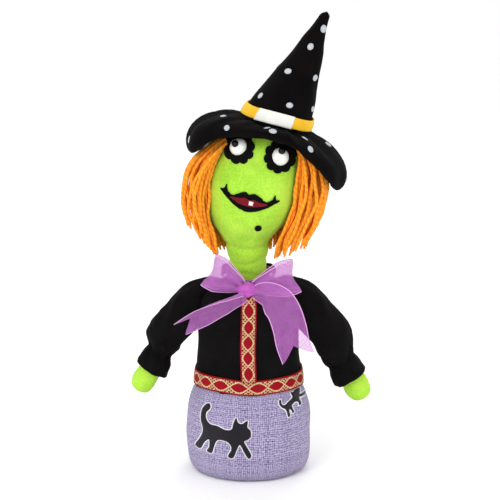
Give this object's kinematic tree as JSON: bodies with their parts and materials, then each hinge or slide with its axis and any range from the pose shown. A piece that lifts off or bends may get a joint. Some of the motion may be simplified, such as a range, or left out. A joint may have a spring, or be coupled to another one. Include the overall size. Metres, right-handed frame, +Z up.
{
  "type": "glove hand puppet",
  "caption": "Soft witch glove puppet with a wadded open skirt, sleeved arms with mitten hands, a turning and nodding head, yarn hair, tied bow and pointed brimmed hat.",
  "frame": {"origin": "on the surface the puppet stands on, under the middle of its overall box, which is the middle of the skirt's hem", "axes": "+Z up through the neck, -Y the way the face looks, +X towards the sleeve at the viewer's right"},
  "size_m": [0.1774, 0.086, 0.3384],
  "materials": {
    "lavender_linen": "coarse plain weave",
    "wadding": "fibre fill",
    "lining": "plain cotton",
    "black_jersey": "brushed matt",
    "red_gold_braid": "woven braid with metallic thread",
    "green_velour": "short soft pile",
    "card_tube": "stiff buckram tube",
    "black_felt": "felt",
    "eye_white": "smooth",
    "black_bead": "polished",
    "red_felt": "satin stitch",
    "tooth_white": "felt",
    "hat_cotton": "cotton with raised silver-white dots",
    "band_yellow": "satin ribbon",
    "band_white": "felt",
    "orange_yarn": "plied wool yarn",
    "purple_organza": "sheer ribbon with satin edges"
  },
  "bodies": {
    "skirt": {"skirt_cloth": "lavender_linen", "skirt_wadding": "wadding", "skirt_lining": "lining", "skirt_hem": "lavender_linen"},
    "torso": {"jacket_body": "black_jersey", "waist_braid": "red_gold_braid", "front_braid": "red_gold_braid", "jacket_collar": "black_jersey", "neck_ribbon": "purple_organza", "bow_knot": "purple_organza", "bow_loop_left": "purple_organza", "bow_loop_right": "purple_organza", "bow_tail_left": "purple_organza", "bow_tail_right": "purple_organza"},
    "upper_arm_left": {"upper_sleeve_left": "black_jersey"},
    "forearm_left": {"lower_sleeve_left": "black_jersey", "cuff_left": "black_jersey", "finger_stall_left": "lining", "hand_left": "green_velour"},
    "upper_arm_right": {"upper_sleeve_right": "black_jersey"},
    "forearm_right": {"lower_sleeve_right": "black_jersey", "cuff_right": "black_jersey", "finger_stall_right": "lining", "hand_right": "green_velour"},
    "neck": {"neck_tube": "card_tube", "neck_wadding": "wadding", "neck_skin": "green_velour"},
    "head": {"head_skin": "green_velour", "head_stuffing": "wadding", "lash_felt_left": "black_felt", "eye_white_left": "eye_white", "pupil_left": "black_bead", "lash_felt_right": "black_felt", "eye_white_right": "eye_white", "pupil_right": "black_bead", "lips": "black_felt", "mouth": "red_felt", "tooth": "tooth_white", "mole": "black_felt", "hat_brim": "hat_cotton", "hat_crown": "hat_cotton", "crown_stuffing": "wadding", "hat_band": "band_yellow", "hat_band_panel": "band_white", "hair_left": "orange_yarn", "hair_right": "orange_yarn"}
  },
  "joints": [
    {"name": "waist_bend", "type": "hinge", "parent": "skirt", "child": "torso", "pos_m": [0, 0, 0.072], "axis": [1, 0, 0], "range_deg": [-12, 12]},
    {"name": "left_arm_raise", "type": "hinge", "parent": "torso", "child": "upper_arm_left", "pos_m": [-0.043, 0, 0.125], "axis": [0, 1, 0], "range_deg": [-4, 60]},
    {"name": "left_elbow_bend", "type": "hinge", "parent": "upper_arm_left", "child": "forearm_left", "pos_m": [-0.05845, 0, 0.09928], "axis": [-0.8572, 0, 0.515], "range_deg": [0, 45]},
    {"name": "right_arm_raise", "type": "hinge", "parent": "torso", "child": "upper_arm_right", "pos_m": [0.043, 0, 0.125], "axis": [0, -1, 0], "range_deg": [-4, 60]},
    {"name": "right_elbow_bend", "type": "hinge", "parent": "upper_arm_right", "child": "forearm_right", "pos_m": [0.06206, 0, 0.09329], "axis": [-0.8572, 0, -0.515], "range_deg": [0, 45]},
    {"name": "head_turn", "type": "hinge", "parent": "torso", "child": "neck", "pos_m": [0, 0, 0.15], "axis": [0, 0, 1], "range_deg": [-35, 35]},
    {"name": "head_nod", "type": "hinge", "parent": "neck", "child": "head", "pos_m": [0, 0, 0.171], "axis": [1, 0, 0], "range_deg": [-18, 22]}
  ]
}
